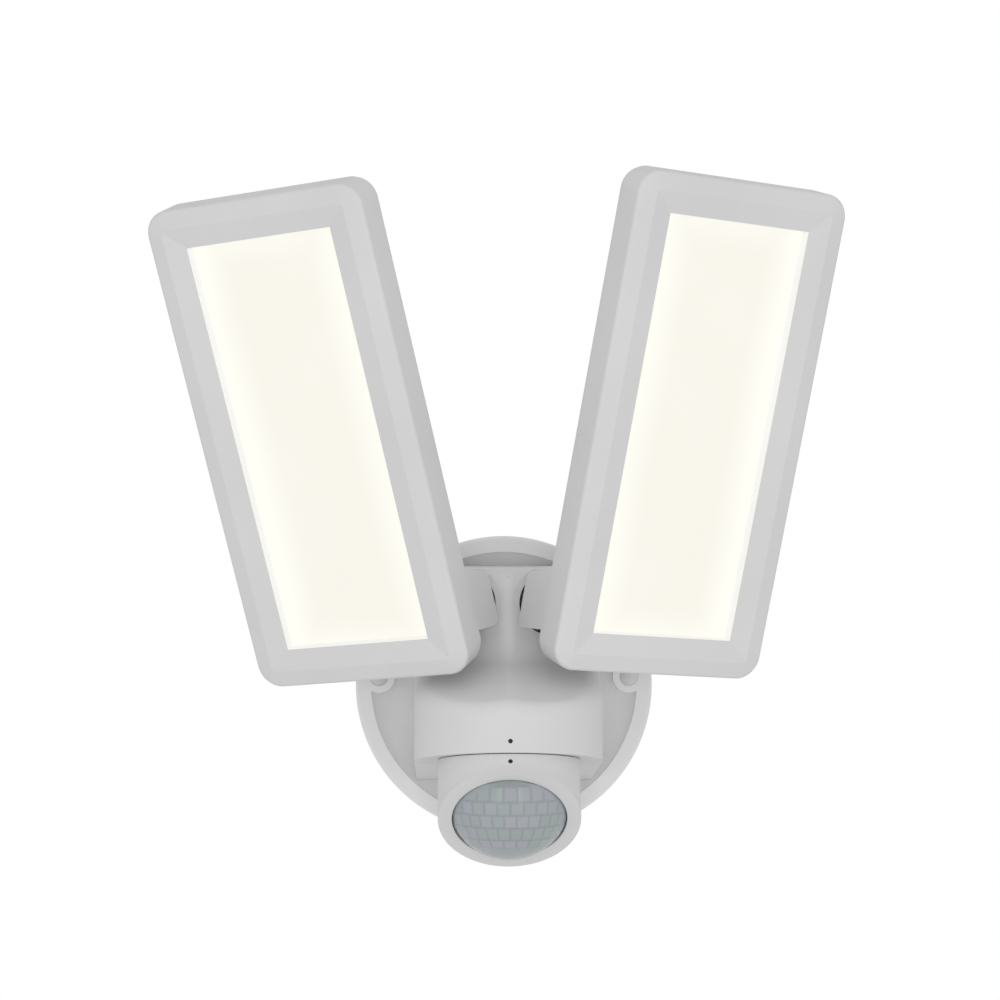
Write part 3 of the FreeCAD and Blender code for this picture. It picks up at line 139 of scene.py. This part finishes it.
# ---------------------------------------------------------------- node helpers
def add_math(tree, operation, first, second=None):
    """A math node on one or two numbers or outputs."""
    node = tree.nodes.new("ShaderNodeMath")
    node.operation = operation
    for socket, value in zip(node.inputs, (first, second)):
        if value is None:
            continue
        if isinstance(value, (int, float)):
            socket.default_value = value
        else:
            tree.links.new(value, socket)
    return node.outputs[0]


def new_material(name, colour, roughness, metallic=0.0):
    """A plain material and its shader, ready for more nodes."""
    material = bpy.data.materials.new(name)
    material.use_nodes = True
    shader = material.node_tree.nodes["Principled BSDF"]
    shader.inputs["Base Color"].default_value = (*colour, 1)
    shader.inputs["Roughness"].default_value = roughness
    shader.inputs["Metallic"].default_value = metallic
    return material, shader


def object_noise(tree, scale, detail=3.0, roughness=0.5, stretch=(1, 1, 1)):
    """Noise in the object's own coordinates, in metres."""
    place = tree.nodes.new("ShaderNodeTexCoord")
    mapping = tree.nodes.new("ShaderNodeMapping")
    mapping.inputs["Scale"].default_value = stretch
    noise = tree.nodes.new("ShaderNodeTexNoise")
    noise.inputs["Scale"].default_value = scale
    noise.inputs["Detail"].default_value = detail
    noise.inputs["Roughness"].default_value = roughness
    tree.links.new(place.outputs["Object"], mapping.inputs["Vector"])
    tree.links.new(mapping.outputs["Vector"], noise.inputs["Vector"])
    return noise.outputs["Fac"]


def blend_colours(tree, factor, low, high):
    """A colour between low and high, by factor."""
    mix = tree.nodes.new("ShaderNodeMix")
    mix.data_type = "RGBA"
    sockets = [socket for socket in mix.inputs if socket.type == "RGBA"]
    for socket, value in zip(sockets, (low, high)):
        if isinstance(value, tuple):
            socket.default_value = (*value, 1)
        else:
            tree.links.new(value, socket)
    tree.links.new(factor, mix.inputs[0])
    return [socket for socket in mix.outputs if socket.type == "RGBA"][0]


def map_range(tree, value, from_low, from_high, to_low, to_high):
    """A value carried from one range to another, and held inside it."""
    node = tree.nodes.new("ShaderNodeMapRange")
    for socket, number in zip(list(node.inputs)[1:5], (from_low, from_high, to_low, to_high)):
        socket.default_value = number
    tree.links.new(value, node.inputs["Value"])
    return node.outputs["Result"]


def grain_bump(tree, shader, height, distance, strength=1.0):
    """Fine relief, with its depth in metres."""
    bump = tree.nodes.new("ShaderNodeBump")
    bump.inputs["Distance"].default_value = distance
    bump.inputs["Strength"].default_value = strength
    tree.links.new(height, bump.inputs["Height"])
    tree.links.new(bump.outputs["Normal"], shader.inputs["Normal"])


def scaled(colour, share):
    return tuple(channel * share for channel in colour)


# ---------------------------------------------------------------- materials
WHITE = (0.66, 0.66, 0.66)
# Painted light: a white lifted above the housing's, making up for the shade the heads and body
# cast on the canopy.
CANOPY_SHADE_LIFTED_WHITE = (0.78, 0.78, 0.78)
CAP_WHITE = scaled(WHITE, 0.96)
SOLDER_MASK = (0.02, 0.16, 0.07)
COPPER_TRACE = (0.05, 0.25, 0.10)
HOUSING_ROUGHNESS = 0.42
DIFFUSER_OPAL = (0.30, 0.295, 0.28)
DIFFUSER_CENTRE = (0.915, 0.885, 0.790)
DIFFUSER_EDGE = (1.0, 1.0, 0.90)
DIFFUSER_GLOW = 0.70
# Painted glow on the head recess walls: emission that stands in for the diffuser's light falling
# on them.
RECESS_PAINTED_GLOW_COLOUR = (1.0, 0.98, 0.93)
RECESS_PAINTED_GLOW_STRENGTH = 0.27
LENS_BASE = (0.36, 0.39, 0.40)
LENS_GREEN = (0.325, 0.375, 0.365)
LENS_BLUE = (0.37, 0.385, 0.425)
# Painted shade along the creases between the lens facets.
LENS_CREASE_SHADE = (0.20, 0.22, 0.235)
LENS_SCATTER = 4.0 * MM


def add_blotches(tree, shader, colour, scale, share):
    """Faint soft blotches between the colour and a shade of it."""
    blotch = map_range(tree, object_noise(tree, scale, 2.0), 0.35, 0.65, 0.0, 1.0)
    tree.links.new(blend_colours(tree, blotch, scaled(colour, share), colour),
                   shader.inputs["Base Color"])


def moulded_plastic(name, colour, roughness):
    """Satin moulding: faint blotches, a fine eroded grain and uneven gloss."""
    material, shader = new_material(name, colour, roughness)
    tree = material.node_tree
    add_blotches(tree, shader, colour, 22.0, 0.965)
    gloss = map_range(tree, object_noise(tree, 60.0, 3.0), 0.3, 0.7,
                      roughness - 0.04, roughness + 0.06)
    tree.links.new(gloss, shader.inputs["Roughness"])
    grain_bump(tree, shader, object_noise(tree, 2600.0, 2.0, 0.6), 0.03 * MM, 0.5)
    return material


def powder_coat(name, colour, roughness):
    """Powder coat: a soft orange peel over metal."""
    material, shader = new_material(name, colour, roughness)
    tree = material.node_tree
    add_blotches(tree, shader, colour, 30.0, 0.97)
    grain_bump(tree, shader, object_noise(tree, 900.0, 3.0, 0.55), 0.05 * MM, 0.6)
    return material


def brushed_metal(name, colour, roughness, stretch=(1, 1, 12)):
    """Metal with streaks in its colour, gloss and relief."""
    material, shader = new_material(name, colour, roughness, 1.0)
    tree = material.node_tree
    streaks = object_noise(tree, 700.0, 3.0, 0.6, stretch)
    tree.links.new(blend_colours(tree, streaks, scaled(colour, 0.8), colour),
                   shader.inputs["Base Color"])
    tree.links.new(map_range(tree, streaks, 0.3, 0.7, roughness - 0.08, roughness + 0.1),
                   shader.inputs["Roughness"])
    grain_bump(tree, shader, streaks, 0.02 * MM)
    return material


def rubber(name, colour):
    """Dull rubber with a pale speck."""
    material, shader = new_material(name, colour, 0.75)
    tree = material.node_tree
    speck = object_noise(tree, 1200.0, 4.0, 0.65)
    pale = tuple(min(1.0, channel * 1.5 + 0.01) for channel in colour)
    tree.links.new(blend_colours(tree, speck, colour, pale), shader.inputs["Base Color"])
    grain_bump(tree, shader, speck, 0.05 * MM)
    return material


def circuit_board(name):
    """Green solder mask with a faint mesh of traces below it."""
    material, shader = new_material(name, SOLDER_MASK, 0.35)
    tree = material.node_tree
    place = tree.nodes.new("ShaderNodeTexCoord")
    traces = tree.nodes.new("ShaderNodeTexBrick")
    traces.inputs["Scale"].default_value = 260.0
    traces.inputs["Mortar Size"].default_value = 0.05
    tree.links.new(place.outputs["Object"], traces.inputs["Vector"])
    tree.links.new(blend_colours(tree, traces.outputs["Fac"], SOLDER_MASK, COPPER_TRACE),
                   shader.inputs["Base Color"])
    return material


def share_along(tree, offset, axis, half):
    """How far along an axis a point lies, as a share of the half size."""
    dot = tree.nodes.new("ShaderNodeVectorMath")
    dot.operation = "DOT_PRODUCT"
    dot.inputs[1].default_value = axis
    tree.links.new(offset, dot.inputs[0])
    distance = add_math(tree, "ABSOLUTE", dot.outputs["Value"])
    return add_math(tree, "DIVIDE", distance, half)


def lit_diffuser(name, centre, across, along, half_width, half_height):
    """Opal panel lit from its edges: a warm white that gets whiter towards the long sides."""
    material, shader = new_material(name, DIFFUSER_OPAL, 0.45)
    tree = material.node_tree
    place = tree.nodes.new("ShaderNodeTexCoord")
    offset = tree.nodes.new("ShaderNodeVectorMath")
    offset.operation = "SUBTRACT"
    offset.inputs[1].default_value = centre
    tree.links.new(place.outputs["Object"], offset.inputs[0])
    from_middle = share_along(tree, offset.outputs["Vector"], across, half_width)
    from_waist = share_along(tree, offset.outputs["Vector"], along, half_height)
    side = map_range(tree, from_middle, 0.50, 0.92, 0.0, 1.0)
    tip = map_range(tree, from_waist, 0.86, 0.99, 0.0, 0.6)
    cloud = map_range(tree, object_noise(tree, 16.0, 2.0), 0.3, 0.7, -0.15, 0.15)
    edge = add_math(tree, "ADD", add_math(tree, "MAXIMUM", side, tip), cloud)
    clamp = tree.nodes.new("ShaderNodeClamp")
    tree.links.new(edge, clamp.inputs["Value"])
    glow = blend_colours(tree, clamp.outputs["Result"], DIFFUSER_CENTRE, DIFFUSER_EDGE)
    tree.links.new(glow, shader.inputs["Emission Color"])
    shader.inputs["Emission Strength"].default_value = DIFFUSER_GLOW
    return material


def painted_recess_glow(name):
    """Housing plastic with a painted glow: emission that stands in for the diffuser's light
    falling on it.
    """
    material = moulded_plastic(name, WHITE, HOUSING_ROUGHNESS)
    shader = material.node_tree.nodes["Principled BSDF"]
    shader.inputs["Emission Color"].default_value = (*RECESS_PAINTED_GLOW_COLOUR, 1)
    shader.inputs["Emission Strength"].default_value = RECESS_PAINTED_GLOW_STRENGTH
    return material


def milky_lens(name):
    """Milky polyethylene: each facet has its own faint tint, and painted shade darkens the creases
    where the facets meet.
    """
    material, shader = new_material(name, LENS_BASE, 0.22)
    tree = material.node_tree
    tint = tree.nodes.new("ShaderNodeAttribute")
    tint.attribute_name = "tint"
    line = tree.nodes.new("ShaderNodeAttribute")
    line.attribute_name = "line"
    facet = blend_colours(tree, tint.outputs["Fac"], LENS_GREEN, LENS_BLUE)
    # Painted shade: the colour darkens towards each facet's edge.
    crease_shade = map_range(tree, line.outputs["Fac"], 0.70, 1.0, 0.0, 0.42)
    tree.links.new(blend_colours(tree, crease_shade, facet, LENS_CREASE_SHADE), shader.inputs["Base Color"])
    shader.inputs["Subsurface Weight"].default_value = 0.25
    shader.inputs["Subsurface Radius"].default_value = (LENS_SCATTER, LENS_SCATTER, LENS_SCATTER)
    shader.inputs["Coat Weight"].default_value = 0.4
    shader.inputs["Coat Roughness"].default_value = 0.12
    return material


# ---------------------------------------------------------------- finishes of the CAD nodes
def paint(node, material):
    """Give a CAD node a material of its own."""
    mesh = frame["nodes"][node].data
    mesh.materials.clear()
    mesh.materials.append(material)
    for polygon in mesh.polygons:
        polygon.material_index = 0


def paint_all():
    """Every CAD node gets the finish of the real piece."""
    white = moulded_plastic("housing_white", WHITE, HOUSING_ROUGHNESS)
    # The canopy and the swivel arms take the lifted white, which is painted light.
    coat = powder_coat("canopy_white", CANOPY_SHADE_LIFTED_WHITE, 0.46)
    cap = moulded_plastic("cap_white", CAP_WHITE, 0.4)
    dark_rubber = rubber("rubber_black", (0.012, 0.012, 0.013))
    grey_rubber = rubber("rubber_grey", (0.10, 0.10, 0.10))
    steel = brushed_metal("zinc_steel", (0.55, 0.55, 0.56), 0.35)
    disc = brushed_metal("ground_disc", (0.33, 0.31, 0.285), 0.5, (1, 1, 1))
    board = circuit_board("solder_mask")
    black = moulded_plastic("component_black", (0.02, 0.02, 0.022), 0.5)
    blue = moulded_plastic("capacitor_sleeve", (0.02, 0.05, 0.18), 0.3)
    natural = moulded_plastic("terminal_plastic", (0.55, 0.54, 0.50), 0.45)
    knob = moulded_plastic("knob_grey", (0.075, 0.075, 0.078), 0.5)
    mark = moulded_plastic("mark_black", (0.008, 0.008, 0.008), 0.35)
    mask = moulded_plastic("led_board_white", (0.75, 0.75, 0.74), 0.4)
    phosphor = moulded_plastic("phosphor", (0.80, 0.62, 0.10), 0.3)
    finishes = {
        "wall_gasket": grey_rubber, "mounting_strap": steel, "canopy": coat,
        "canopy_screws": steel, "screw_caps": cap, "body_housing": white,
        "body_screws": steel, "body_mark": mark, "driver_board": board,
        "driver_transformer": black, "driver_capacitors": blue, "driver_relay": black,
        "terminal_block": natural, "sensor_housing": white, "sensor_clip_ring": black,
        "sensor_mark": mark, "sensor_board": board, "pir_detector": steel,
        "sensor_trimmers": blue, "time_knob": knob, "light_knob": knob,
    }
    for side in ("left_", "right_"):
        finishes.update({
            side + "swivel_arm": coat, side + "swivel_disc": disc,
            side + "swivel_seal": dark_rubber, side + "swivel_washer": steel,
            side + "swivel_nut": steel, side + "head_frame": white,
            side + "head_housing": white, side + "head_seal": grey_rubber,
            side + "led_board": mask, side + "led_chips": phosphor,
            side + "frame_screws": steel, side + "tilt_bolt": steel,
            side + "tilt_nut": steel,
        })
    for node, material in finishes.items():
        paint(node, material)


# ---------------------------------------------------------------- lit windows of the heads, and the painted glow of their recesses
JOINTS = {joint["name"]: joint for joint in frame["record"]["behaviour"]["joints"]}
REST_TILT = {"left": 19.0, "right": 13.9}
WINDOW_OUT = 27.6 * MM
WINDOW_UP = 79.0 * MM
WINDOW_HALF = (31.4 * MM, 83.0 * MM)
DIFFUSER_DEPTH = 23.7 * MM
LIP_DEPTH = 28.0 * MM
WALL_SLACK = 0.3 * MM
DEPTH_SLACK = 0.1 * MM


def head_matrix(side):
    """The head's frame: X along the tilt hinge, -Y out of the window, Z up the head."""
    tilt = JOINTS[side + "_tilt"]
    across = Vector(tilt["axis"]).normalized()
    back = Vector(JOINTS[side + "_swivel"]["axis"]).normalized()
    back = Matrix.Rotation(math.radians(REST_TILT[side]), 3, across) @ back
    up = across.cross(back)
    turn = Matrix((across, back, up)).transposed().to_4x4()
    return Matrix.Translation(Vector(tilt["pos_m"])) @ turn


def paint_recess(side, sign, material):
    """The walls between the window's lip and the diffuser get a painted glow that stands in for
    its light.
    """
    frame_mesh = frame["nodes"][side + "_head_frame"].data
    frame_mesh.materials.append(material)
    slot = len(frame_mesh.materials) - 1
    to_head = head_matrix(side).inverted()
    for polygon in frame_mesh.polygons:
        centre = to_head @ polygon.center
        across = abs(centre.x - sign * WINDOW_OUT) - WINDOW_HALF[0]
        along = abs(centre.z - WINDOW_UP) - WINDOW_HALF[1]
        on_wall = abs(max(across, along)) < WALL_SLACK
        if on_wall and -LIP_DEPTH - DEPTH_SLACK < centre.y < -DIFFUSER_DEPTH + DEPTH_SLACK:
            polygon.material_index = slot


def paint_diffusers():
    """Light both diffusers, and give the recesses in front of them a painted glow."""
    recess = painted_recess_glow("recess_painted_glow")
    for side, sign in (("left", -1), ("right", 1)):
        head = head_matrix(side)
        centre = head @ Vector((sign * WINDOW_OUT, -DIFFUSER_DEPTH, WINDOW_UP))
        turn = head.to_3x3()
        material = lit_diffuser(side + "_diffuser_lit", centre, turn.col[0], turn.col[2],
                                *WINDOW_HALF)
        paint(side + "_diffuser", material)
        paint_recess(side, sign, recess)


# ---------------------------------------------------------------- sensor lens
SENSOR_SLOPE = 10.0
SENSOR_BEND = 38.0
BEND_RADIUS = 36.6 * MM
SENSOR_GAP = 0.3 * MM
LENS_RADIUS = 22.2 * MM
LENS_SPHERE = 24.6 * MM
LENS_WALL = 1.1 * MM
LENS_SEAT = 0.6 * MM
SKIRT_STEPS = (-LENS_SEAT * 0.4, LENS_SEAT, LENS_SEAT + 2.0 * MM)
LENS_RINGS = 84
LENS_SIDES = 240
# Heights of the borders between the rows of facets, and the facets' width in each row.
ROW_HEIGHTS = (-31.5, -37.7, -42.9, -47.9, -53.0, -56.4)
FACET_WIDTHS = (4.6, 5.4, 5.2, 4.8, 4.6, 5.0, 6.0)
FACET_FLATNESS = 0.55
FACET_LEVEL = 1.006
LAST_FACET_ROW = 5
LEAST_RING_SQUARED = 4.0
EDGE_FADE = math.radians(6)
SEEDS_IN_ROW = 100
SEED_OF_MIDDLE = 50


def face_matrix():
    """Frame of the sensor's face: Z points back into the housing."""
    seat = Vector(JOINTS["sensor_pan"]["pos_m"])
    slope = Matrix.Rotation(math.radians(-SENSOR_SLOPE), 4, "X")
    bend = Matrix.Rotation(math.radians(-SENSOR_BEND), 4, "X")
    before = Matrix.Translation(Vector((0, -BEND_RADIUS, -SENSOR_GAP)))
    after = Matrix.Translation(Vector((0, BEND_RADIUS, 0)))
    return Matrix.Translation(seat) @ slope @ before @ bend @ after


def facet_of(point, centre):
    """Row, column and place inside the facet of a point on the dome."""
    height = point.z / MM
    sphere = LENS_SPHERE / MM
    middle_of_dome = centre.z / MM
    row = sum(1 for edge in ROW_HEIGHTS if height < edge)
    edges = (middle_of_dome + sphere, *ROW_HEIGHTS, middle_of_dome - sphere)
    top, low = edges[row], edges[row + 1]
    middle = (top + low) / 2
    ring = math.sqrt(max(sphere ** 2 - (middle - middle_of_dome) ** 2, LEAST_RING_SQUARED))
    azimuth = math.atan2(point.x - centre.x, -(point.y - centre.y))
    step = FACET_WIDTHS[row] / ring
    shift = 0.5 if row % 2 else 0.0
    column = math.floor(azimuth / step + shift)
    angle = (column + 0.5 - shift) * step
    flat = Vector((math.sin(angle) * ring, -math.cos(angle) * ring, middle - middle_of_dome))
    across = abs(azimuth - angle) / step * 2
    down = abs(height - middle) / (top - low) * 2
    return row, column, flat.normalized(), across, down


def dome_rows(build, face, line, tint):
    """Rings of the dome from its crown to its rim, flattened towards each facet's plane."""
    reach = math.sqrt(LENS_SPHERE ** 2 - LENS_RADIUS ** 2)
    centre = face @ Vector((0, 0, reach - LENS_SEAT))
    turn = face.to_3x3()
    half_angle = math.asin(LENS_RADIUS / LENS_SPHERE)
    rows = []
    for ring in range(LENS_RINGS + 1):
        polar = half_angle * ring / LENS_RINGS
        fade = min(1.0, (half_angle - polar) / EDGE_FADE)
        row = []
        for side in range(1 if ring == 0 else LENS_SIDES):
            spin = 2 * math.pi * side / LENS_SIDES
            local = Vector((math.sin(polar) * math.cos(spin), math.sin(polar) * math.sin(spin),
                            -math.cos(polar)))
            direction = turn @ local
            number, column, flat, across, down = facet_of(centre + direction * LENS_SPHERE, centre)
            facet_fade = fade if number <= LAST_FACET_ROW else 0.0
            plane = LENS_SPHERE / direction.dot(flat)
            lift = (plane - LENS_SPHERE * FACET_LEVEL) * FACET_FLATNESS * facet_fade
            vertex = build.verts.new(centre + direction * (LENS_SPHERE + lift))
            # Nearness to the facet's edge, which sets the painted shade in the creases.
            vertex[line] = max(across, down) * facet_fade
            seed = number * SEEDS_IN_ROW + column + SEED_OF_MIDDLE
            vertex[tint] = random.Random(seed).random()
            row.append(vertex)
        rows.append(row)
    return rows


def skirt_rows(build, face):
    """Rings of the skirt that sits in the housing's mouth."""
    rows = []
    for step in SKIRT_STEPS:
        row = []
        for side in range(LENS_SIDES):
            spin = 2 * math.pi * side / LENS_SIDES
            local = Vector((LENS_RADIUS * math.cos(spin), LENS_RADIUS * math.sin(spin), step))
            row.append(build.verts.new(face @ local))
        rows.append(row)
    return rows


def join_rows(build, rows):
    """Faces between each ring and the next, with a fan round the crown."""
    for upper, lower in zip(rows, rows[1:]):
        for side in range(LENS_SIDES):
            after = (side + 1) % LENS_SIDES
            if len(upper) == 1:
                build.faces.new((upper[0], lower[side], lower[after]))
            else:
                build.faces.new((upper[side], lower[side], lower[after], upper[after]))


def make_lens():
    """The domed lens: a thin shell with rows of flattened facets, on its skirt."""
    face = face_matrix()
    build = bmesh.new()
    line = build.verts.layers.float.new("line")
    tint = build.verts.layers.float.new("tint")
    join_rows(build, dome_rows(build, face, line, tint) + skirt_rows(build, face))
    bmesh.ops.recalc_face_normals(build, faces=build.faces)
    for polygon in build.faces:
        polygon.smooth = True
    mesh = bpy.data.meshes.new("domed_lens")
    build.to_mesh(mesh)
    build.free()
    lens = bpy.data.objects.new("domed_lens", mesh)
    bpy.context.scene.collection.objects.link(lens)
    thick = lens.modifiers.new("thickness", "SOLIDIFY")
    thick.thickness = LENS_WALL
    thick.offset = -1
    mesh.materials.append(milky_lens("lens_polyethylene"))
    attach(lens, "sensor")
    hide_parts("sensor_lens")


# ---------------------------------------------------------------- build
make_camera()
make_world()
for lamp_name, lamp in LAMPS.items():
    make_lamp(lamp_name, *lamp)
make_floor()
paint_all()
paint_diffusers()
make_lens()

bpy.context.scene.view_settings.view_transform = "Standard"
